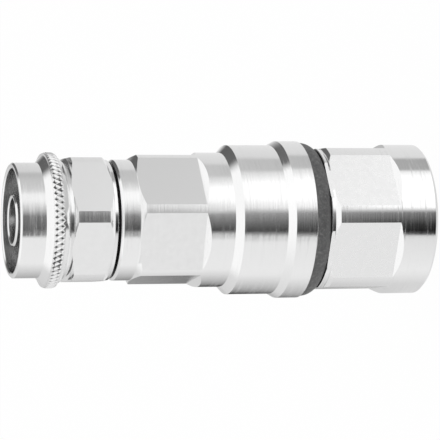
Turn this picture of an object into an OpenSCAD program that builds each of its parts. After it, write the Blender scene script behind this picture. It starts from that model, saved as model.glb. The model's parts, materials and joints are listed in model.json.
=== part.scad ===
// Straight coaxial plug, N interface, for corrugated feeder cable.
// It stands on its cable end: +Z runs along the axis towards the mating face,
// and Z = 0 is the rear face of the clamp nut.

/* [Coupling nut] */
// Length of the coupling nut
nut_len = 15.15; // [14.75:0.05:17]
// Width across the nut's wrench flats
nut_af = 19; // [18.6:0.1:19.8]
// Diameter to which the nut's corners are turned
nut_corner_d = 21; // [20.4:0.1:21.6]
// How far the front corner of the hexagon lies behind the rim
nut_hex_start = 8.6; // [8.4:0.05:9.4]
// Diameter of the nut's rear face
nut_face_d = 18.3; // [17.9:0.1:18.6]
// Outer diameter of the front sleeve
sleeve_d = 17.9; // [17.5:0.1:18.4]
// Length of the front sleeve
sleeve_len = 3.95; // [3.25:0.05:4.1]
// Bore of the sleeve's mouth
mouth_d = 16.2; // [16.0:0.1:16.5]
// Depth of the mouth's smooth bore
mouth_depth = 3.6; // [2.5:0.1:4]
// Diameter over the knurled flange
knurl_d = 21.1; // [20.3:0.1:22]
// Width of the knurled band
knurl_w = 1.7; // [1.2:0.1:1.9]
// Axial run of the shoulder between the sleeve and the knurl
shoulder_len = 0.95; // [0.5:0.05:1.2]
// Number of diamonds round the knurl
knurl_teeth = 70; // [50:1:90]
// Depth of the knurl
knurl_depth = 0.32; // [0.15:0.01:0.4]
// Diameter of the groove between the knurl and the hexagon
nut_groove_d = 18.4; // [17.9:0.1:18.8]
// Minor diameter of the coupling thread, 5/8-24 UNEF
thread_minor_d = 14.9; // [14.8:0.05:15.1]
// Length of the coupling thread
thread_len = 5.6; // [4.5:0.1:5.8]
// Angle by which the nut's hexagon is turned
nut_turn = 2.75; // [0:0.25:60]
// Gap between the nut and the collar when the nut is pushed back
nut_gap = 0.4; // [0.3:0.05:0.8]
// How far the nut slides forward on its snap ring
nut_float = 0.8; // [0.4:0.1:1.0]

/* [Mating interface] */
// Outer diameter of the outer contact
contact_od = 8.03; // [7.9:0.01:8.05]
// Bore of the outer contact
contact_id = 7.0; // [6.8:0.05:7.1]
// How far the contact's tip lies behind the nut's rim
contact_recess = 0.15; // [0:0.05:0.5]
// Distance from the contact's tip back to the gasket seat
seat_depth = 10.3; // [10.0:0.05:10.6]
// Thickness of the interface gasket
gasket_t = 1.2; // [0.8:0.05:1.4]
// How far the interface gasket's rim lies inside the neck
gasket_inset = 0.3; // [0.1:0.05:0.6]
// Diameter of the pin's thin front part
pin_d = 1.65; // [1.6:0.01:1.68]
// Distance from the contact's tip back to the pin's tip
pin_recess = 0.9; // [0.5:0.1:1.5]
// Distance from the contact's tip back to the pin's shoulder
pin_shoulder = 5.28; // [5.0:0.02:5.4]
// Diameter of the centre conductor behind the pin
line_d = 3.04; // [2.9:0.02:3.1]

/* [Contact carrier] */
// Wall of the carrier under its seal
carrier_wall = 0.6; // [0.5:0.05:0.8]
// Height of the carrier's rear flange, and of the seat in the housing's bore
flange_step = 1.15; // [0.9:0.05:1.4]
// Thickness of the carrier's rear flange
flange_t = 1.5; // [1.0:0.1:2.0]
// How far the flange seat lies behind the collar's face
flange_drop = 0.55; // [0.5:0.05:1.2]
// Bore of the pocket that holds the front bead
bead_d = 9.2; // [8.8:0.1:9.4]
// Thickness of the front bead
front_bead_t = 2.5; // [2.0:0.1:3.0]
// How far the front bead lies behind the gasket seat
front_bead_drop = 1.05; // [0.8:0.05:1.4]
// Thickness of the rear bead
rear_bead_t = 2.5; // [2.0:0.1:3.5]
// Diameter of the cord of the carrier's seal
inner_seal_cord = 0.8; // [0.7:0.05:0.9]

/* [Contact socket] */
// Diameter of the cable's inner conductor
inner_d = 4.8; // [4.5:0.05:5.0]
// Outer diameter of the socket
socket_d = 6.2; // [6.0:0.1:6.6]
// Length of the socket
socket_len = 18; // [16:0.5:18]
// Depth of the socket's bore
socket_depth = 12; // [9:0.5:13]
// Number of slots in the socket
socket_slots = 4; // [2:1:6]
// Width of a slot in the socket
socket_slot_w = 0.5; // [0.3:0.05:0.7]

/* [Housing] */
// Wall of the front neck, on which the nut turns, round the carrier
neck_t = 1.2; // [1.1:0.05:1.3]
// Diameter of the front collar
collar_d = 18.9; // [18.4:0.1:18.9]
// Length of the front collar
collar_len = 2.95; // [2.05:0.05:4]
// Width across the housing's wrench flats
housing_af = 19; // [18.6:0.1:20]
// Length of the wrench flats
flat_len = 9.5; // [8:0.1:12]
// Angle by which the housing's hexagon is turned
housing_turn = 9.3; // [0:0.1:60]
// Diameter of the barrel behind the flats, and of the corners
barrel_d = 21.2; // [20.8:0.1:21.8]
// Length of the barrel behind the flats
barrel_len = 4.5; // [3.5:0.1:5.5]
// How far the drum lies inside the rear land
drum_inset = 0.65; // [0.35:0.05:0.85]
// Length of the drum
drum_len = 7; // [6:0.1:9]
// Wall of the rear land round the thread chamber
land_wall = 2.15; // [2.0:0.05:2.7]
// Length of the rear land
land_len = 3.55; // [2.55:0.1:5]
// Axial length of the slope from the collar to the hexagon
collar_rise = 0.7; // [0.4:0.05:1.2]
// Axial length of the slope from the barrel to the drum
drum_rise = 1.1; // [0.6:0.05:1.6]
// Axial length of the slope from the drum to the rear land
land_rise = 1.15; // [0.6:0.05:1.6]
// Axial length of the sloping wall in which a wrench flat ends
flat_runout = 0.9; // [0.5:0.05:1.1]

/* [Cable clamp] */
// Diameter of the cable's jacket
cable_d = 16; // [15.6:0.1:16.2]
// Diameter of the cable's corrugated outer conductor
conductor_d = 13.8; // [13.4:0.1:14.1]
// Wall of the cable gasket
gasket_wall = 1.15; // [1.0:0.05:1.25]
// Length of the cable gasket
cable_gasket_len = 7.4; // [6:0.1:8]
// Thickness of each clamp washer
washer_t = 1; // [0.8:0.1:1.2]
// Thickness of the clamp nut's rear wall
rear_wall = 5.75; // [4.5:0.05:6.5]
// Length of the split collet
collet_len = 13.4; // [12:0.1:13.5]
// Number of slots in the collet
collet_slots = 6; // [4:1:8]
// Length of the collet's unslotted rear ring
collet_root = 2.5; // [2:0.1:4]
// Width of a slot in the collet
collet_slot_w = 0.8; // [0.5:0.1:1.2]
// Wall of the clamp nut's threaded neck
neck_wall = 0.9; // [0.8:0.05:1.0]
// Length of the clamp nut's threaded neck
clamp_neck_len = 10.2; // [9.5:0.1:10.8]
// Radial clearance of the clamp thread
thread_play = 0.1; // [0.06:0.01:0.15]
// Length of the flare cone
flare_len = 3.5; // [3:0.1:4]
// Height of the flare cone's flange over the housing's bore
flare_step = 1.82; // [1.65:0.01:1.9]
// Radial height of the cone itself
flare_rise = 1.57; // [1.3:0.01:1.6]

/* [Clamp nut] */
// Length of the clamp nut behind the seal
clamp_len = 17.4; // [16.6:0.1:19]
// Width across the clamp nut's flats
clamp_af = 22; // [21.6:0.1:23]
// How far the clamp nut's corners lie inside the housing's rear land
corner_inset = 0.45; // [0:0.05:0.6]
// How far the clamp nut's rear barrel lies inside the housing's rear land
clamp_barrel_inset = 0.5; // [0:0.05:0.7]
// Length of the clamp nut's rear barrel
clamp_barrel_len = 6.3; // [4:0.1:8]
// Angle by which the clamp nut's hexagon is turned
clamp_turn = 3.7; // [0:0.1:60]
// Width of the squeezed seal ring
seal_w = 2.5; // [2.0:0.05:2.8]
// How far the squeezed seal ring lies inside the housing's rear land
seal_inset = 0.25; // [0.1:0.05:0.5]
// Radius of the seal ring's crown
seal_crown = 2.5; // [2.4:0.1:3.0]

/* [Snap ring] */
// Width of the snap ring
snap_w = 1; // [0.8:0.05:1.1]
// Radial thickness of the snap ring
snap_t = 1; // [0.8:0.05:1.1]
// Depth of the nut's wall behind the snap ring's groove
snap_wall = 0.9; // [0.7:0.05:1.1]

/* [Hidden] */
$fn = 96;

// Radial clearances: seated pieces, turning pieces and axial play
fit = 0.03;
run = 0.05;
play = 0.05;
// Small turned edge breaks
edge = 0.2;
// Shoulder on the outer contact that centres the interface gasket
boss_step = 0.2;
eps = 0.01;
// How far a cutting shape runs past what it cuts
over = 1;

// Carrier, bore and neck follow the front bead
carrier_d = bead_d + 2 * (carrier_wall + inner_seal_cord);
bore_d = carrier_d + 2 * flange_step;
flare_d = bore_d + 2 * flare_step;

// Stations along the axis, from the cable end up
z_clamp_face = clamp_len;
z_seat = z_clamp_face + seal_w;
z_land = z_seat + land_len;
z_drum0 = z_land + land_rise;
z_drum1 = z_drum0 + drum_len;
z_barrel0 = z_drum1 + drum_rise;
z_flat0 = z_barrel0 + barrel_len;
z_flat1 = z_flat0 + flat_len;
z_collar0 = z_flat1 + collar_rise;
z_collar1 = z_collar0 + collar_len;
z_nut = z_collar1 + nut_gap;
z_rim = z_nut + nut_len;
z_tip = z_rim - contact_recess;
z_gasket = z_tip - seat_depth;
z_flange = z_collar1 - flange_drop;
z_carrier = z_flange - flange_t;
z_bead = z_gasket - front_bead_drop;

// Snap ring in its two grooves
z_snap = z_nut + snap_wall + play;
neck_r = carrier_d / 2 + neck_t;
nut_bore_r = neck_r + 2 * run;
snap_r0 = neck_r - snap_t / 2;
snap_r1 = snap_r0 + snap_t;
snap_gap = 14;

// Contact socket and the rear bead that carries it
z_rear_bead = z_carrier - rear_bead_t;
bead_lip = 0.5;
z_socket1 = z_carrier - bead_lip;
z_socket0 = z_socket1 - socket_len;
spigot_d = 2.2;
spigot_len = 3;

// Cable clamp: bores follow the cable, walls follow the bores
cable_r = cable_d / 2 + 0.1;
entry_r = cable_d / 2 + 0.3;
gasket_r = cable_r + gasket_wall;
clamp_bore_r = gasket_r + run;
clamp_neck_r = clamp_bore_r + neck_wall;
chamber_r = clamp_neck_r + thread_play;

// Rear land follows the thread chamber; drum, seal ring and clamp nut follow the land
land_d = 2 * (chamber_r + land_wall);
drum_d = land_d - 2 * drum_inset;
seal_od = land_d - 2 * seal_inset;
clamp_corner_d = land_d - 2 * corner_inset;
clamp_barrel_d = land_d - 2 * clamp_barrel_inset;

// Stations of the clamp's pieces
z_washer = rear_wall + play;
z_cable_gasket = z_washer + washer_t;
z_thrust = z_cable_gasket + cable_gasket_len;
z_collet = z_thrust + washer_t;
z_collet1 = z_collet + collet_len;
flare_gap = 0.3;
z_flare1 = z_collet1 + flare_gap + flare_len;
flare_cone_h = 2;
z_chamber = z_collet1 + 1;
z_clamp_neck = z_clamp_face + clamp_neck_len;
seal_root_r = clamp_neck_r - 0.25;

// Retaining clip in the front of the clamp nut's neck
clip_w = 0.6;
clip_t = 0.75;
clip_r = clamp_bore_r - 0.5;
z_clip = z_clamp_neck - 1.35;
clip_gap = 20;
collet_nose_r = clip_r - 0.1;
collet_r = clamp_bore_r - 0.2;
z_collet_nose = z_clip - 0.1;

// Garter spring round the collet's fingers
spring_wire = 0.5;
spring_drop = 2.6;

// Full turn of a profile given as [radius, height] points
module turned(profile) {
    rotate_extrude() polygon(profile);
}

// Ring of rectangular section with a gap of the given angle, as a C
module split_ring(r0, r1, z0, w, gap) {
    translate([0, 0, z0])
        rotate([0, 0, gap / 2])
            rotate_extrude(angle = 360 - gap)
                translate([r0, 0]) square([r1 - r0, w]);
}

// What a milling cutter leaves of a round bar between two heights: a hexagon
// of the given width. Each flat ends below in a sloping wall up past the bar.
module hex_cut(af, bar_d, z0, z1, runout, turn) {
    corner_d = af / cos(30);
    wall_d = (bar_d + 0.4) / cos(30);
    difference() {
        translate([0, 0, z0 - runout])
            cylinder(d = corner_d + 2 * over, h = z1 - z0 + runout + over);
        rotate([0, 0, 30 + turn]) {
            translate([0, 0, z0]) cylinder(d = corner_d, h = z1 - z0 + 2 * over, $fn = 6);
            translate([0, 0, z0 - runout])
                cylinder(d1 = wall_d, d2 = corner_d, h = runout, $fn = 6);
        }
    }
}

// Radial slots through a wall, spread evenly round the axis
module slots(count, width, z0, z1) {
    for (i = [0 : count - 1])
        rotate([0, 0, i * 360 / count])
            translate([0, -width / 2, z0]) cube([land_d, width, z1 - z0]);
}

// Knurl: a ring whose outside is a lattice of sunk diamonds. Each row of points
// alternates between a ridge crossing and the bottom of a diamond, and the next
// row is staggered, so the diagonals between two rows are the ridges.
module knurl_ring(r, r_in, z0, w, teeth, depth) {
    n = 2 * teeth;
    rows = [0, w / 4, 3 * w / 4, w];
    function row_r(i, k) = i == 0 || i == 3 ? r - depth / 2
        : (i + k) % 2 == 0 ? r - depth : r;
    outer = [for (i = [0 : 3]) for (k = [0 : n - 1])
        let (a = k * 360 / n) [row_r(i, k) * cos(a), row_r(i, k) * sin(a), z0 + rows[i]]];
    inner = [for (i = [0, 1]) for (k = [0 : n - 1])
        let (a = k * 360 / n) [r_in * cos(a), r_in * sin(a), z0 + i * w]];
    function p(i, k) = i * n + k % n;
    function q(i, k) = 4 * n + i * n + k % n;
    skin = [for (i = [0 : 2]) for (k = [0 : n - 1]) each
        (i + k) % 2 == 0
            ? [[p(i, k), p(i + 1, k), p(i, k + 1)], [p(i, k + 1), p(i + 1, k), p(i + 1, k + 1)]]
            : [[p(i, k), p(i + 1, k), p(i + 1, k + 1)], [p(i, k), p(i + 1, k + 1), p(i, k + 1)]]];
    core = [for (k = [0 : n - 1]) each
        [[q(0, k), q(0, k + 1), q(1, k)], [q(0, k + 1), q(1, k + 1), q(1, k)]]];
    ends = [for (k = [0 : n - 1]) each
        [[p(0, k), p(0, k + 1), q(0, k)], [p(0, k + 1), q(0, k + 1), q(0, k)],
         [p(3, k), q(1, k), p(3, k + 1)], [p(3, k + 1), q(1, k), q(1, k + 1)]]];
    polyhedron(points = concat(outer, inner), faces = concat(skin, core, ends), convexity = 10);
}

// Coupling nut: sleeve, knurled flange, groove and hexagon on one turned blank
module coupling_nut() {
    corner_r = nut_corner_d / 2;
    knurl_r = knurl_d / 2;
    blank_r = knurl_r - 1.5 * knurl_depth;
    groove_r = nut_groove_d / 2;
    sleeve_r = sleeve_d / 2;
    mouth_r = mouth_d / 2;
    thread_r = thread_minor_d / 2;
    face_r = nut_face_d / 2;
    rim_break = 0.25;
    // Rear lip and the bevel from it to the corners
    lip_h = 0.3;
    lip_w = 0.65;
    rear_bevel = 0.95 * (corner_r - face_r - lip_h);
    // Two-step bevel from the corners down to the groove, and the groove's far flank
    bevel_r = groove_r + 0.42 * (corner_r - groove_r);
    bevel_step = 0.35;
    bevel_len = 0.85;
    flank_w = 0.65;
    flank_h = 0.5;
    thread_lead = 0.7;
    neck_bore_len = 3.6;
    z_hex1 = z_rim - nut_hex_start;
    z_knurl1 = z_rim - sleeve_len - shoulder_len;
    z_knurl0 = z_knurl1 - knurl_w;
    z_flank = z_knurl0 - flank_w;
    z_lip = z_nut + lip_w;
    z_mouth = z_rim - mouth_depth;
    z_thread1 = z_mouth - thread_lead;
    z_thread0 = z_thread1 - thread_len;
    z_neck_bore = z_nut + neck_bore_len;
    color("#dcdcdc") difference() {
        union() {
            turned([[0, z_nut], [face_r, z_nut], [face_r + lip_h - 0.05, z_nut + 0.2],
                [face_r + lip_h, z_lip], [corner_r, z_lip + rear_bevel],
                [corner_r, z_hex1], [bevel_r, z_hex1 + bevel_step], [groove_r, z_hex1 + bevel_len],
                [groove_r, z_flank - 0.3], [groove_r + flank_h, z_flank], [blank_r, z_knurl0],
                [blank_r, z_knurl1], [sleeve_r, z_rim - sleeve_len],
                [sleeve_r, z_rim - rim_break], [sleeve_r - rim_break, z_rim], [0, z_rim]]);
            knurl_ring(knurl_r, blank_r - 0.5, z_knurl0, knurl_w, knurl_teeth, knurl_depth);
        }
        hex_cut(nut_af, nut_corner_d, z_nut - 1, z_hex1 - 0.02, flat_runout, nut_turn);
        // Inside, from the rim down: mouth, thread, relief, bore on the neck, ring groove
        turned([[0, z_rim + 1], [mouth_r + edge, z_rim + 1], [mouth_r + edge, z_rim],
            [mouth_r, z_rim - edge], [mouth_r, z_mouth], [thread_r, z_thread1],
            [thread_r, z_thread0], [mouth_r, z_thread0 - thread_lead], [mouth_r, z_neck_bore],
            [nut_bore_r, z_neck_bore], [nut_bore_r, z_snap + snap_w + play],
            [snap_r1 + run, z_snap + snap_w + play], [snap_r1 + run, z_snap - play],
            [nut_bore_r, z_snap - play], [nut_bore_r, z_nut + edge],
            [nut_bore_r + edge, z_nut], [nut_bore_r + edge, z_nut - 1], [0, z_nut - 1]]);
    }
}

// Split wire ring, half in the neck's groove and half in the nut's
module snap_ring() {
    color("#b9b2a2") split_ring(snap_r0, snap_r1, z_snap, snap_w, snap_gap);
}

// Flat rubber ring round the outer contact, on which the mating jack seals
module interface_gasket() {
    color("#505050") translate([0, 0, z_gasket]) difference() {
        cylinder(r = neck_r - gasket_inset, h = gasket_t);
        translate([0, 0, -over])
            cylinder(d = contact_od + 2 * boss_step + 0.1, h = gasket_t + 2 * over);
    }
}

// Outer contact: the tube that enters the jack, on a carrier pressed into the neck
module outer_contact() {
    tip_r = contact_od / 2;
    bore_r = contact_id / 2;
    bead_r = bead_d / 2;
    flange_r = bore_d / 2 - fit;
    boss_r = tip_r + boss_step;
    z_boss = z_gasket + gasket_t - 0.1;
    tip_break = 0.15;
    carrier_r = carrier_d / 2 - fit;
    seal_groove_r = carrier_d / 2 - inner_seal_cord - 2 * fit + eps;
    z_groove = z_flange + 0.3;
    groove_w = inner_seal_cord + 0.2;
    color("#e2ddd2") difference() {
        turned([[0, z_carrier], [flange_r, z_carrier], [flange_r, z_flange],
            [carrier_r, z_flange], [carrier_r, z_groove], [seal_groove_r, z_groove],
            [seal_groove_r, z_groove + groove_w], [carrier_r, z_groove + groove_w],
            [carrier_r, z_gasket], [boss_r, z_gasket], [boss_r, z_boss], [tip_r, z_boss],
            [tip_r, z_tip - 2 * tip_break], [tip_r - tip_break, z_tip], [0, z_tip]]);
        turned([[0, z_tip + 1], [bore_r + tip_break, z_tip + 1], [bore_r + tip_break, z_tip],
            [bore_r, z_tip - edge], [bore_r, z_bead], [bead_r, z_bead],
            [bead_r, z_carrier - 1], [0, z_carrier - 1]]);
    }
}

// Rubber ring that seals the carrier in the neck
module inner_seal() {
    r = carrier_d / 2 - fit - inner_seal_cord / 2;
    color("#303030")
        translate([0, 0, z_flange + 0.4 + inner_seal_cord / 2])
            rotate_extrude() translate([r, 0]) circle(d = inner_seal_cord, $fn = 32);
}

// Centre contact: thin pin, shoulder, line conductor and the spigot into the socket
module center_pin() {
    pin_r = pin_d / 2;
    line_r = line_d / 2;
    spigot_r = spigot_d / 2 - fit;
    line_break = 0.15;
    z_spigot = z_socket1 - spigot_len;
    z_shoulder = z_tip - pin_shoulder;
    // Rounded tip in two slopes
    z_pin = z_tip - pin_recess;
    z_pin_mid = z_pin - 0.2;
    z_pin_root = z_pin - 0.6;
    color("#dedad0") turned([[0, z_spigot], [spigot_r, z_spigot], [spigot_r, z_socket1],
        [line_r, z_socket1], [line_r, z_shoulder - line_break],
        [line_r - line_break, z_shoulder], [pin_r, z_shoulder], [pin_r, z_pin_root],
        [0.75 * pin_r, z_pin_mid], [0.4 * pin_r, z_pin], [0, z_pin]]);
}

// Slotted socket that grips the cable's inner conductor
module contact_socket() {
    bore_r = inner_d / 2;
    socket_r = socket_d / 2;
    nose_break = 0.3;
    mouth_flare = 0.25;
    slot_root = 2;
    z_bore1 = z_socket0 + socket_depth;
    color("#dedad0") difference() {
        turned([[0, z_socket0], [socket_r - nose_break, z_socket0],
            [socket_r, z_socket0 + nose_break], [socket_r, z_socket1], [0, z_socket1]]);
        turned([[0, z_socket0 - 1], [bore_r + mouth_flare, z_socket0 - 1],
            [bore_r + mouth_flare, z_socket0], [bore_r, z_socket0 + nose_break],
            [bore_r, z_bore1], [0, z_bore1 + 1]]);
        translate([0, 0, z_socket1 - spigot_len - 0.1]) cylinder(d = spigot_d, h = spigot_len + 1);
        slots(socket_slots, socket_slot_w, z_socket0 - 1, z_bore1 - slot_root);
    }
}

// Insulating bead that holds the line conductor behind the gasket seat
module front_bead() {
    color("#f4f4f0") translate([0, 0, z_bead - front_bead_t]) difference() {
        cylinder(d = bead_d - 2 * fit, h = front_bead_t);
        translate([0, 0, -over]) cylinder(d = line_d + 2 * fit, h = front_bead_t + 2 * over);
    }
}

// Sleeve that keeps the front bead in its pocket
module bead_retainer() {
    h = z_bead - front_bead_t - z_carrier;
    color("#c9c4b4") translate([0, 0, z_carrier]) difference() {
        cylinder(d = bead_d - 2 * fit, h = h);
        translate([0, 0, -over]) cylinder(d = contact_id, h = h + 2 * over);
    }
}

// Insulating bead behind the carrier, with a lip over the socket's front
module rear_bead() {
    bore_r = socket_d / 2 + fit;
    front_r = line_d / 2 + fit;
    rim_r = bore_d / 2 - fit;
    z_step = z_socket1 + eps;
    color("#f4f4f0") turned([[bore_r, z_rear_bead], [rim_r, z_rear_bead], [rim_r, z_carrier],
        [front_r, z_carrier], [front_r, z_step], [bore_r, z_step]]);
}

// Housing: neck, collar, wrench flats, barrel, drum and rear land in one piece
module housing() {
    barrel_r = barrel_d / 2;
    collar_r = collar_d / 2;
    drum_r = drum_d / 2;
    land_r = land_d / 2;
    front_break = 0.35;
    snap_groove_r = snap_r0 - run;
    z_groove0 = z_snap - play;
    z_groove1 = z_snap + snap_w + nut_float + play;
    carrier_bore_r = carrier_d / 2;
    bore_r = bore_d / 2;
    flare_r = flare_d / 2 + fit;
    mouth_break = 0.3;
    color("#dcdcdc") difference() {
        turned([[0, z_seat], [land_r - edge, z_seat], [land_r, z_seat + edge], [land_r, z_land],
            [drum_r, z_drum0], [drum_r, z_drum1], [barrel_r, z_barrel0], [barrel_r, z_flat1],
            [collar_r, z_collar0], [collar_r, z_collar1 - front_break],
            [collar_r - front_break, z_collar1], [neck_r, z_collar1],
            [neck_r, z_groove0], [snap_groove_r, z_groove0],
            [snap_groove_r, z_groove1], [neck_r, z_groove1], [neck_r, z_gasket - edge],
            [neck_r - edge, z_gasket], [0, z_gasket]]);
        hex_cut(housing_af, barrel_d, z_flat0, z_collar0, flat_runout, housing_turn);
        // Inside, from the neck down: carrier bore, line bore, flare seat and thread chamber
        turned([[0, z_gasket + 1], [carrier_bore_r, z_gasket + 1], [carrier_bore_r, z_flange],
            [bore_r, z_flange], [bore_r, z_flare1], [flare_r, z_flare1],
            [flare_r, z_chamber], [chamber_r, z_chamber],
            [chamber_r, z_seat + mouth_break], [chamber_r + mouth_break, z_seat],
            [chamber_r + mouth_break, z_seat - 1], [0, z_seat - 1]]);
    }
}

// Ring with the cone over which the cable's outer conductor is flared
module flare_cone() {
    flare_r = flare_d / 2;
    bore_r = bore_d / 2;
    nose_r = flare_r - flare_rise;
    nose_break = 0.2;
    z0 = z_flare1 - flare_len;
    z1 = z_flare1 - eps;
    color("#cfc8b6") turned([[bore_r + nose_break, z0], [nose_r, z0],
        [flare_r, z0 + flare_cone_h], [flare_r, z1], [bore_r, z1], [bore_r, z0 + nose_break]]);
}

// Clamp nut: hexagon, rear barrel, threaded neck and the chamber for the clamp
module clamp_nut() {
    corner_r = clamp_corner_d / 2;
    barrel_r = clamp_barrel_d / 2;
    rear_break = 0.5;
    // Turned lip at the front, a fine groove behind it, and the bevel up to the corners
    lip_r = corner_r - 0.5;
    lip_break = 0.1;
    lip_groove_r = lip_r - 0.35;
    z_step = clamp_barrel_len - 0.15;
    z_groove1 = z_clamp_face - 0.52;
    z_groove0 = z_groove1 - 0.3;
    z_bevel = z_groove0 - 0.48;
    neck_break = 0.3;
    entry_flare = 0.4;
    // Groove of the retaining clip
    clip_groove_r = clip_r + 0.8;
    z_clip0 = z_clip - play;
    z_clip1 = z_clip + clip_w + play;
    color("#dcdcdc") difference() {
        turned([[0, 0], [barrel_r - rear_break, 0], [barrel_r, rear_break],
            [barrel_r, z_step - 0.1], [corner_r, z_step],
            [corner_r, z_bevel], [lip_r, z_groove0], [lip_groove_r, z_groove0],
            [lip_groove_r, z_groove1], [lip_r, z_groove1], [lip_r, z_clamp_face - lip_break],
            [lip_r - lip_break, z_clamp_face], [seal_root_r, z_clamp_face],
            [seal_root_r, z_seat + 0.1], [clamp_neck_r, z_seat + 0.4],
            [clamp_neck_r, z_clamp_neck - neck_break],
            [clamp_neck_r - neck_break, z_clamp_neck], [0, z_clamp_neck]]);
        hex_cut(clamp_af, clamp_barrel_d, clamp_barrel_len, z_clamp_face - 0.02, flat_runout,
            clamp_turn);
        turned([[0, -1], [entry_r + entry_flare, -1], [entry_r + entry_flare, 0],
            [entry_r, entry_flare], [entry_r, rear_wall], [clamp_bore_r, rear_wall],
            [clamp_bore_r, z_clip0], [clip_groove_r, z_clip0], [clip_groove_r, z_clip1],
            [clamp_bore_r, z_clip1], [clamp_bore_r, z_clamp_neck + 1], [0, z_clamp_neck + 1]]);
    }
}

// Rubber ring squeezed between the housing and the clamp nut
module seal_ring() {
    r0 = seal_root_r + fit;
    r1 = seal_od / 2;
    crown_r = r1 - seal_crown;
    // The ring stands a little clear of the clamp nut; its crown is near the housing
    seal_gap = 0.15;
    crown_inset = 0.35;
    color("#4a4a4a") translate([0, 0, z_clamp_face + eps]) rotate_extrude() intersection() {
        translate([r0, seal_gap]) square([r1 - r0 + 1, seal_w - seal_gap - play]);
        union() {
            translate([crown_r, seal_w - crown_inset]) circle(r = seal_crown, $fn = 64);
            translate([r0 - 1, 0]) square([crown_r + 1 - r0, seal_w]);
        }
    }
}

// Split collet whose fingers close on the corrugated outer conductor
module collet() {
    grip_r = conductor_d / 2;
    z_root = z_collet + collet_root;
    z_spring0 = z_collet_nose - spring_drop;
    z_spring1 = z_spring0 + spring_wire + 0.2;
    groove_r = collet_r - spring_wire - 0.05;
    // Ridges that lie in the conductor's corrugation
    ridge = 0.35;
    pitch = 2.4;
    ridges = 3;
    valley_r = grip_r + ridge;
    bore_steps = [for (i = [0 : ridges - 1]) let (z = z_root + 0.8 + i * pitch) each
        [[valley_r, z], [grip_r, z + 0.5], [grip_r, z + 0.9], [valley_r, z + 1.4]]];
    // Cone that presses the flare on the flare ring
    flare_r = collet_nose_r - 0.5;
    z_flare = z_collet1 - 1.6;
    color("#cfc8b6") difference() {
        turned([[0, z_collet], [collet_r, z_collet], [collet_r, z_spring0],
            [groove_r, z_spring0], [groove_r, z_spring1], [collet_r, z_spring1],
            [collet_r, z_collet_nose], [collet_nose_r, z_collet_nose],
            [collet_nose_r, z_collet1], [0, z_collet1]]);
        turned(concat([[0, z_collet - 1], [valley_r, z_collet - 1]], bore_steps,
            [[valley_r, z_flare - 0.4], [grip_r, z_flare], [flare_r, z_collet1],
             [flare_r, z_collet1 + 1], [0, z_collet1 + 1]]));
        slots(collet_slots, collet_slot_w, z_root, z_collet1 + 1);
    }
}

// Split wire ring that holds the collet's fingers together
module collet_spring() {
    r = collet_r - spring_wire / 2;
    z = z_collet_nose - spring_drop + 0.1 + spring_wire / 2;
    spring_arc = 350;
    color("#a8a8a8") translate([0, 0, z])
        rotate_extrude(angle = spring_arc) translate([r, 0]) circle(d = spring_wire, $fn = 24);
}

// Flat washer of the clamp
module washer(z, t) {
    translate([0, 0, z]) difference() {
        cylinder(r = gasket_r, h = t);
        translate([0, 0, -over]) cylinder(r = cable_r, h = t + 2 * over);
    }
}

// Washer between the cable gasket and the collet
module thrust_washer() {
    color("#b9b2a2") washer(z_thrust, washer_t);
}

// Rubber sleeve that seals on the cable's jacket
module cable_gasket() {
    lip = 0.25;
    ribs = 3;
    rib_pitch = cable_gasket_len / ribs;
    inside = [for (i = [0 : ribs - 1]) let (z = z_cable_gasket + i * rib_pitch) each
        [[cable_r + lip, z + 0.1 * rib_pitch], [cable_r, z + 0.4 * rib_pitch],
         [cable_r, z + 0.6 * rib_pitch], [cable_r + lip, z + 0.9 * rib_pitch]]];
    color("#383838") turned(concat([[gasket_r, z_cable_gasket + cable_gasket_len],
        [gasket_r, z_cable_gasket], [cable_r + lip, z_cable_gasket]], inside,
        [[cable_r + lip, z_cable_gasket + cable_gasket_len]]));
}

// Washer on which the clamp nut's rear wall turns
module rear_washer() {
    color("#b9b2a2") washer(z_washer, washer_t);
}

// Split ring that keeps the collet in the clamp nut when the nut is unscrewed
module retaining_clip() {
    color("#a8a8a8") split_ring(clip_r, clip_r + clip_t, z_clip, clip_w, clip_gap);
}

coupling_nut();
snap_ring();
interface_gasket();
outer_contact();
inner_seal();
center_pin();
contact_socket();
front_bead();
bead_retainer();
rear_bead();
housing();
flare_cone();
clamp_nut();
seal_ring();
collet();
collet_spring();
thrust_washer();
cable_gasket();
rear_washer();
retaining_clip();
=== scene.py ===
"""Looks of the straight N plug: plated, turned and milled brass, rubber and white beads.

The CAD nodes keep their shapes. Each gets a procedural material, and milled flats, the knurl
with painted shade in its pits, and recesses darkened as painted shade get their own. The studio is
a world of fixed soft boxes and dark flags, which the metal reflects.
"""

import json
import math

import bpy
from mathutils import Matrix, Vector


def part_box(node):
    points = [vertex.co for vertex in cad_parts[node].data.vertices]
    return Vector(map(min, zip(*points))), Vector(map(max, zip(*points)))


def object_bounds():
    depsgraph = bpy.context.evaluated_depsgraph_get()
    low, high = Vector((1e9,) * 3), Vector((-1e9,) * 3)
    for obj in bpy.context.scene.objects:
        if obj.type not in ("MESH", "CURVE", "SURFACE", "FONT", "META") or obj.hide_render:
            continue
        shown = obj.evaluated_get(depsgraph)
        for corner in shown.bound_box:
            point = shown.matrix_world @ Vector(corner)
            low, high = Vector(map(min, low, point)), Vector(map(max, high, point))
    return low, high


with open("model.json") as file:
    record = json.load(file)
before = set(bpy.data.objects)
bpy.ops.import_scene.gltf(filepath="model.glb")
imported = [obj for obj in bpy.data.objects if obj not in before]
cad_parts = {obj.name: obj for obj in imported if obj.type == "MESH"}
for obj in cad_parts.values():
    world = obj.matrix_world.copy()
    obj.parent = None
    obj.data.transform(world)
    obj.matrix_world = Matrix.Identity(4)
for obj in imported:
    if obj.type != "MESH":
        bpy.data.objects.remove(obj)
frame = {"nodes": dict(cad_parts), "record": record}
cad_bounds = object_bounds()
nodes = frame["nodes"]
MM = 0.001

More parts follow.
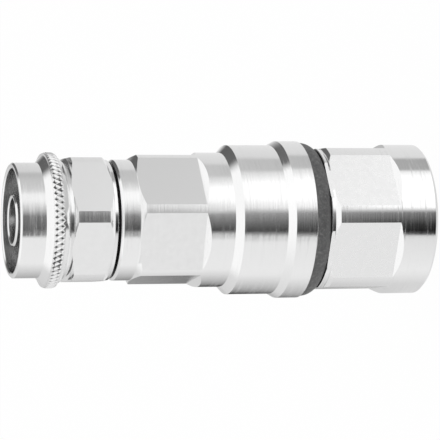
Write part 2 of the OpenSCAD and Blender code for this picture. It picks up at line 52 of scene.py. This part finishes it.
# The camera at the photograph's viewing angle: place in metres, angles in degrees
CAMERA_PLACE = (-0.00005, -0.3638, 0.1313)
CAMERA_TILT = 15.21
CAMERA_ROLL = -0.24
CAMERA_LENS = 195.1

# Wrench sizes and the turn of each hexagon, in millimetres and degrees, as in the model
HEXAGONS = {"coupling_nut": (19.0, 2.75), "housing": (19.0, 9.3), "clamp_nut": (22.0, 3.7)}
# How far the clamp nut comes down when it is unscrewed
CLAMP_TRAVEL = next(joint["range_m"][1] for joint in frame["record"]["behaviour"]["joints"]
                    if joint["name"] == "clamp_travel")

# Bands with a material of their own, in millimetres; those in the mouth, rear bore, collar face and
# outer contact are darker metal as painted shade. Heights are measured from the coupling nut's rim
# or rear face, or from the outer contact's rim.
KNURL_START, KNURL_END = 4.9, 6.6
KNURL_RIDGE, KNURL_PIT = 10.55, 0.32
FLANGE_CORE = 10.1
RIM_BEVEL = 0.6
MOUTH_RADIUS = 8.3
REAR_BEVEL = 0.3
REAR_BORE_RADIUS = 8.5
NUT_GAP = 0.45
COLLAR_FACE_RADIUS = 8.8
CONTACT_BEVEL = 0.3

FLOOR_HALF = 1.5
# Share of plain white that the camera sees on the floor; the rest shows the shadow
FLOOR_WHITE = 0.97


def grey(level):
    """Linear grey for a display level of 0 to 255."""
    v = level / 255
    linear = v / 12.92 if v <= 0.04045 else ((v + 0.055) / 1.055) ** 2.4
    return (linear, linear, linear, 1)


# ---------------------------------------------------------------- camera

def make_camera():
    """The photograph's view: the part lies on its side, mating end to the left and nearer."""
    tilt = math.radians(CAMERA_TILT)
    roll = math.radians(CAMERA_ROLL)
    right = Vector((0, -math.sin(tilt), -math.cos(tilt)))
    up = Vector((1, 0, 0))
    across = right * math.cos(roll) + up * math.sin(roll)
    upward = up * math.cos(roll) - right * math.sin(roll)
    data = bpy.data.cameras.new("camera")
    data.sensor_width = 36
    data.lens = CAMERA_LENS
    data.clip_start, data.clip_end = 0.01, 20
    camera = bpy.data.objects.new("camera", data)
    place = Matrix((across, upward, across.cross(upward))).transposed().to_4x4()
    place.translation = Vector(CAMERA_PLACE)
    camera.matrix_world = place
    bpy.context.scene.collection.objects.link(camera)
    bpy.context.scene.camera = camera


# ---------------------------------------------------------------- node helpers

class Graph:
    """A short way to write a node tree: each call adds a node and links its inputs."""

    def __init__(self, tree):
        self.tree = tree
        tree.nodes.clear()

    def add(self, kind, inputs=(), **settings):
        node = self.tree.nodes.new(kind)
        for name, value in settings.items():
            setattr(node, name, value)
        for key, value in dict(inputs).items():
            self.feed(node.inputs[key], value)
        return node

    def feed(self, socket, value):
        if isinstance(value, bpy.types.NodeSocket):
            self.tree.links.new(value, socket)
        else:
            socket.default_value = value

    def math(self, operation, a, b=0.0, c=0.0):
        return self.add("ShaderNodeMath", {0: a, 1: b, 2: c}, operation=operation).outputs[0]

    def ramp(self, factor, stops):
        """A colour ramp with greys given as (position, display level)."""
        node = self.add("ShaderNodeValToRGB", {"Fac": factor})
        ramp = node.color_ramp
        while len(ramp.elements) < len(stops):
            ramp.elements.new(0.5)
        for element, (position, level) in zip(ramp.elements, stops):
            element.position = position
            element.color = grey(level)
        return node.outputs["Color"]

    def mix(self, factor, a, b):
        node = self.add("ShaderNodeMix", data_type="RGBA")
        self.feed(node.inputs["Factor"], factor)
        self.feed(node.inputs[6], a)
        self.feed(node.inputs[7], b)
        return node.outputs[2]


def new_material(name):
    material = bpy.data.materials.new(name)
    material.use_nodes = True
    return material, Graph(material.node_tree)


def finish_material(graph, shader):
    graph.add("ShaderNodeOutputMaterial", {"Surface": shader.outputs[0]})


# ---------------------------------------------------------------- world and floor

# Brightness round the axis, as (degrees from -Y towards +X, display level), for what turned
# surfaces mirror: a dark flag in front, white boxes above it and pale ones below. The boxes
# lean, so there is one ring for the mating end of the plug, one for its middle and one for
# the cable end. Cones and faces that look up or down mirror the high and the tail ring.
MATING_RING = [(-180, 230), (-160, 165), (-130, 200), (-95, 240), (-35, 235), (-29, 55), (8, 65),
               (20, 170), (32, 215), (40, 238), (52, 238), (60, 205), (70, 195), (106, 195), (116, 220),
               (180, 235)]
MIDDLE_RING = [(-180, 225), (-172, 35), (-158, 45), (-148, 120), (-125, 185), (-95, 238), (-35, 240),
               (-24, 230), (-18, 75), (-4, 140), (9, 185), (20, 238), (32, 275), (58, 275), (68, 240),
               (80, 208), (106, 204), (116, 220), (180, 235)]
CABLE_RING = [(-180, 235), (-120, 220), (-85, 240), (-32, 225), (-26, 215), (-24, 10), (-8, 20), (10, 110),
              (18, 275), (68, 275), (78, 250), (83, 165), (106, 165), (111, 225), (180, 235)]
HIGH_RING = [(-180, 205), (-90, 235), (40, 270), (84, 255), (98, 110), (158, 95), (170, 190), (180, 205)]
TAIL_RING = [(-180, 225), (-35, 235), (-26, 100), (5, 100), (20, 190), (90, 200), (180, 225)]
# Sine of the elevation at which each ring holds
RINGS = [(-0.9, TAIL_RING), (-0.345, CABLE_RING), (-0.265, MIDDLE_RING), (-0.205, MATING_RING),
         (0.12, HIGH_RING)]
# Sines of the elevations between which the rings give way to the overhead box
OVERHEAD = (0.55, 0.75)


def make_world():
    world = bpy.data.worlds.new("studio")
    bpy.context.scene.world = world
    world.use_nodes = True
    g = Graph(world.node_tree)
    direction = g.add("ShaderNodeTexCoord").outputs["Generated"]
    axes = g.add("ShaderNodeSeparateXYZ", {0: direction})
    x, y, z = axes.outputs
    turn = g.math("DEGREES", g.math("ARCTAN2", x, g.math("MULTIPLY", y, -1.0)))
    room = ring_light(g, turn, RINGS[0][1])
    for (z0, _), (z1, ring) in zip(RINGS, RINGS[1:]):
        step = g.add("ShaderNodeMapRange", {"Value": z, "From Min": z0, "From Max": z1}).outputs[0]
        room = g.mix(step, room, ring_light(g, turn, ring))
    overhead = g.add("ShaderNodeMapRange",
                     {"Value": z, "From Min": OVERHEAD[0], "From Max": OVERHEAD[1]},
                     interpolation_type="SMOOTHSTEP").outputs[0]
    room = g.mix(overhead, room, grey(255))
    seen = g.add("ShaderNodeLightPath").outputs["Is Camera Ray"]
    color = g.mix(seen, room, (1, 1, 1, 1))
    background = g.add("ShaderNodeBackground", {"Color": color, "Strength": 1.0})
    g.add("ShaderNodeOutputWorld", {"Surface": background.outputs[0]})


def ring_light(g, turn, ring):
    """Linear interpolation between the ring's greys; levels may pass 255 for a soft box."""
    total = grey(ring[0][1])[0]
    for (a0, v0), (a1, v1) in zip(ring, ring[1:]):
        rise = grey(v1)[0] - grey(v0)[0]
        part = g.add("ShaderNodeMapRange",
                     {"Value": turn, "From Min": float(a0), "From Max": float(a1),
                      "To Min": 0.0, "To Max": rise})
        total = g.math("ADD", part.outputs[0], total)
    return total


def make_floor():
    """A plain pale floor: it shows white, takes the part's shadow, and isn't mirrored.

    It lies as low as the clamp nut comes when it is unscrewed, so that no pose goes through it."""
    mesh = bpy.data.meshes.new("floor")
    corners = [(x * FLOOR_HALF, y * FLOOR_HALF, 0) for x, y in ((-1, -1), (1, -1), (1, 1), (-1, 1))]
    mesh.from_pydata(corners, [], [(0, 1, 2, 3)])
    floor = bpy.data.objects.new("floor", mesh)
    floor.location = (0, 0, cad_bounds[0][2] - CLAMP_TRAVEL - 0.0001)
    bpy.context.scene.collection.objects.link(floor)
    material, g = new_material("floor")
    path = g.add("ShaderNodeLightPath")
    matt = g.add("ShaderNodeBsdfDiffuse", {"Color": grey(250)})
    clear = g.add("ShaderNodeBsdfTransparent")
    white = g.add("ShaderNodeEmission", {"Color": (1, 1, 1, 1), "Strength": 1.0})
    body = g.add("ShaderNodeMixShader",
                 {0: path.outputs["Is Glossy Ray"], 1: matt.outputs[0], 2: clear.outputs[0]})
    shown = g.math("MULTIPLY", path.outputs["Is Camera Ray"], FLOOR_WHITE)
    finish_material(g, g.add("ShaderNodeMixShader",
                             {0: shown, 1: body.outputs[0], 2: white.outputs[0]}))
    mesh.materials.append(material)


# ---------------------------------------------------------------- materials

def object_position(g):
    """Object coordinates in millimetres, and their x, y, z."""
    place = g.add("ShaderNodeTexCoord").outputs["Object"]
    scaled = g.add("ShaderNodeVectorMath", {0: place, "Scale": 1 / MM}, operation="SCALE").outputs[0]
    split = g.add("ShaderNodeSeparateXYZ", {0: scaled})
    return scaled, split.outputs


def axis_distance(g, x, y):
    return g.math("SQRT", g.math("ADD", g.math("MULTIPLY", x, x), g.math("MULTIPLY", y, y)))


def ring_marks(g, z, scale):
    """Noise that changes only along the axis, as a lathe tool leaves it."""
    along = g.add("ShaderNodeCombineXYZ", {"Z": z})
    return g.add("ShaderNodeTexNoise", {"Vector": along.outputs[0], "Scale": scale, "Detail": 4.0,
                                        "Roughness": 0.7}).outputs["Fac"]


def streak_marks(g, place, around, along):
    """Noise drawn out round the axis: short arcs, as a dull tool or emery cloth leaves them."""
    drawn = g.add("ShaderNodeMapping", {"Vector": place, "Scale": (around, around, along)})
    return g.add("ShaderNodeTexNoise", {"Vector": drawn.outputs[0], "Scale": 1.0, "Detail": 3.0,
                                        "Roughness": 0.65}).outputs["Fac"]


def turned_metal(name, level, roughness=0.1, streaks=0.16, warm=(1, 1, 1)):
    """Plated metal off a lathe: fine rings round the axis, sharp round it and soft along it.

    Where a streak runs, the metal is duller, so that it carries light into dark reflections."""
    material, g = new_material(name)
    place, (_, _, z) = object_position(g)
    fine = ring_marks(g, z, 4.0)
    arcs = streak_marks(g, place, 0.15, 3.2)
    arc = g.add("ShaderNodeMapRange", {"Value": arcs, "From Min": 0.45, "From Max": 0.75},
                interpolation_type="SMOOTHSTEP").outputs[0]
    speckle = g.add("ShaderNodeTexNoise", {"Vector": place, "Scale": 3.0, "Detail": 3.0}).outputs["Fac"]
    base = [c * w for c, w in zip(grey(level)[:3], warm)] + [1]
    worn = [c * 0.95 for c in base[:3]] + [1]
    color = g.mix(g.math("MULTIPLY", speckle, 0.6), base, worn)
    rough = g.math("MULTIPLY_ADD", arc, streaks, roughness)
    bump = g.add("ShaderNodeBump", {"Height": fine, "Strength": 0.35, "Distance": 0.00002})
    tangent = g.add("ShaderNodeTangent", direction_type="RADIAL", axis="Z")
    shader = g.add("ShaderNodeBsdfPrincipled",
                   {"Base Color": color, "Metallic": 1.0, "Roughness": rough, "Anisotropic": 0.6,
                    "Anisotropic Rotation": 0.25, "Normal": bump.outputs[0],
                    "Tangent": tangent.outputs[0]})
    finish_material(g, shader)
    return material


def milled_metal(name, level, roughness=0.24):
    """Plated flat off a cutter: short strokes along the axis, softer than turned metal."""
    material, g = new_material(name)
    place, _ = object_position(g)
    stretched = g.add("ShaderNodeMapping", {"Vector": place, "Scale": (1.0, 1.0, 0.08)})
    strokes = g.add("ShaderNodeTexNoise", {"Vector": stretched.outputs[0], "Scale": 6.0,
                                           "Detail": 5.0, "Roughness": 0.7}).outputs["Fac"]
    speckle = g.add("ShaderNodeTexNoise", {"Vector": place, "Scale": 1.2, "Detail": 3.0}).outputs["Fac"]
    color = g.mix(speckle, grey(level), grey(level - 5))
    rough = g.math("MULTIPLY_ADD", speckle, 0.1, roughness - 0.05)
    bump = g.add("ShaderNodeBump", {"Height": strokes, "Strength": 0.25, "Distance": 0.00001})
    shader = g.add("ShaderNodeBsdfPrincipled",
                   {"Base Color": color, "Metallic": 1.0, "Roughness": rough,
                    "Normal": bump.outputs[0]})
    finish_material(g, shader)
    return material


def knurled_metal_pit_shade(name, level, ridge_mm, depth_mm):
    """Bright ridges over pits darkened as painted shade: the deeper a point lies, the darker it is."""
    material, g = new_material(name)
    place, (x, y, _) = object_position(g)
    height = g.add("ShaderNodeMapRange",
                   {"Value": axis_distance(g, x, y), "From Min": ridge_mm - depth_mm,
                    "From Max": ridge_mm}).outputs[0]
    # Painted shade: the ramp darkens the knurl's pits by their depth
    color = g.ramp(height, [(0.0, 60), (0.25, 130), (0.5, level - 15), (1.0, level)])
    wear = g.add("ShaderNodeTexNoise", {"Vector": place, "Scale": 4.0, "Detail": 3.0}).outputs["Fac"]
    rough = g.math("MULTIPLY_ADD", wear, 0.12, 0.2)
    bump = g.add("ShaderNodeBump", {"Height": wear, "Strength": 0.2, "Distance": 0.00002})
    shader = g.add("ShaderNodeBsdfPrincipled",
                   {"Base Color": color, "Metallic": 1.0, "Roughness": rough,
                    "Normal": bump.outputs[0]})
    finish_material(g, shader)
    return material


def rubber(name, level, roughness=0.5):
    """Moulded rubber: fine grain and pale dust."""
    material, g = new_material(name)
    place, _ = object_position(g)
    grain = g.add("ShaderNodeTexNoise", {"Vector": place, "Scale": 7.0, "Detail": 5.0}).outputs["Fac"]
    dust = g.add("ShaderNodeTexNoise", {"Vector": place, "Scale": 2.2, "Detail": 5.0,
                                        "Roughness": 0.75}).outputs["Fac"]
    color = g.ramp(dust, [(0.3, level - 26), (0.55, level), (0.7, level + 34), (0.78, level + 80)])
    rough = g.math("MULTIPLY_ADD", dust, 0.2, roughness - 0.1)
    bump = g.add("ShaderNodeBump", {"Height": grain, "Strength": 0.3, "Distance": 0.00003})
    shader = g.add("ShaderNodeBsdfPrincipled", {"Base Color": color, "Roughness": rough, "IOR": 1.5,
                                                "Normal": bump.outputs[0]})
    finish_material(g, shader)
    return material


def white_plastic(name):
    """Machined fluoropolymer: waxy white with faint turning marks."""
    material, g = new_material(name)
    place, (x, y, _) = object_position(g)
    rings = ring_marks(g, axis_distance(g, x, y), 5.0)
    cloud = g.add("ShaderNodeTexNoise", {"Vector": place, "Scale": 0.8, "Detail": 2.0}).outputs["Fac"]
    color = g.mix(cloud, grey(238), grey(228))
    rough = g.math("MULTIPLY_ADD", cloud, 0.1, 0.4)
    bump = g.add("ShaderNodeBump", {"Height": rings, "Strength": 0.3, "Distance": 0.00002})
    shader = g.add("ShaderNodeBsdfPrincipled",
                   {"Base Color": color, "Roughness": rough, "IOR": 1.38, "Subsurface Weight": 0.15,
                    "Subsurface Scale": 0.0005, "Normal": bump.outputs[0]})
    finish_material(g, shader)
    return material


# ---------------------------------------------------------------- dressing the CAD nodes

def dress(node, *materials):
    """Gives a node its materials, smooth faces and creases where faces meet at an angle."""
    mesh = nodes[node].data
    mesh.materials.clear()
    for material in materials:
        mesh.materials.append(material)
    for polygon in mesh.polygons:
        polygon.material_index = 0
    mesh.shade_smooth()
    mesh.set_sharp_from_angle(angle=math.radians(20))


def mark_flats(node):
    """Faces that lie on a hexagon's planes take the milled material, the second one."""
    size, turn = HEXAGONS[node]
    mesh = nodes[node].data
    reach = size / 2 * MM
    normals = [Vector((math.cos(a), math.sin(a), 0))
               for a in (math.radians(turn + 60 * i) for i in range(6))]
    for polygon in mesh.polygons:
        for normal in normals:
            off_plane = abs(polygon.center.dot(normal) - reach)
            if polygon.normal.dot(normal) > 0.9995 and off_plane < 0.01 * MM:
                polygon.material_index = 1


def mark_band(node, index, heights, radii):
    """Faces whose centres lie between two heights and two radii take another material."""
    low, high = (height * MM for height in heights)
    inner, outer = (radius * MM for radius in radii)
    for polygon in nodes[node].data.polygons:
        c = polygon.center
        if low <= c.z <= high and inner <= math.hypot(c.x, c.y) <= outer:
            polygon.material_index = index


def dress_all():
    bright = turned_metal("turned_plate", 250)
    polished = turned_metal("turned_plate_clamp", 250, roughness=0.06, streaks=0.2)
    nut_flat = milled_metal("milled_plate_nut", 248)
    body_flat = milled_metal("milled_plate_body", 251)
    clamp_flat = milled_metal("milled_plate_clamp", 252, 0.28)
    # The knurl carries painted shade in its pits
    knurl = knurled_metal_pit_shade("knurled_plate_pit_shade", 250, KNURL_RIDGE, KNURL_PIT)
    silver = turned_metal("silver_plate", 240)
    # Darker metal as painted shade for the insides of the nut's mouth and of the outer contact
    bore_painted_shade = turned_metal("bore_plate_painted_shade", 205, roughness=0.2)
    # Dark metal as painted shade for the gap between the coupling nut's rear and the housing
    recess_painted_shade = turned_metal("recess_plate_painted_shade", 120, roughness=0.4)
    spring = turned_metal("spring_metal", 190, roughness=0.25)
    brass = turned_metal("washer_brass", 215, roughness=0.25, warm=(1.0, 0.86, 0.55))
    seal = rubber("seal_rubber", 92)
    gasket = rubber("silicone", 110)
    white = white_plastic("ptfe")

    rear, rim = (corner.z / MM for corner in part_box("coupling_nut"))
    dress("coupling_nut", bright, nut_flat, knurl, bore_painted_shade, recess_painted_shade)
    mark_flats("coupling_nut")
    mark_band("coupling_nut", 2, (rim - KNURL_END, rim - KNURL_START), (FLANGE_CORE, math.inf))
    # The inside of the coupling nut's mouth takes the bore's painted shade
    mark_band("coupling_nut", 3, (rear + REAR_BEVEL, rim - RIM_BEVEL), (0, MOUTH_RADIUS))
    # The coupling nut's rear bore takes the recess's painted shade
    mark_band("coupling_nut", 4, (0, rear + REAR_BEVEL), (0, REAR_BORE_RADIUS))
    dress("housing", bright, body_flat, recess_painted_shade)
    mark_flats("housing")
    # The housing's neck and collar face inside the nut's gap take the recess's painted shade
    mark_band("housing", 2, (rear - NUT_GAP, rim), (0, COLLAR_FACE_RADIUS))
    dress("clamp_nut", polished, clamp_flat)
    mark_flats("clamp_nut")
    for node in ("bead_retainer", "flare_cone", "collet", "center_pin", "contact_socket"):
        dress(node, silver)
    dress("outer_contact", silver, bore_painted_shade)
    contact_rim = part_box("outer_contact")[1].z / MM
    # The outer contact below its rim bevel takes the bore's painted shade
    mark_band("outer_contact", 1, (0, contact_rim - CONTACT_BEVEL), (0, math.inf))
    for node in ("snap_ring", "collet_spring", "retaining_clip"):
        dress(node, spring)
    for node in ("thrust_washer", "rear_washer"):
        dress(node, brass)
    for node in ("seal_ring", "cable_gasket", "inner_seal"):
        dress(node, seal)
    dress("interface_gasket", gasket)
    for node in ("front_bead", "rear_bead"):
        dress(node, white)


def main():
    make_camera()
    make_world()
    make_floor()
    dress_all()
    bpy.context.scene.view_settings.view_transform = "Standard"


main()
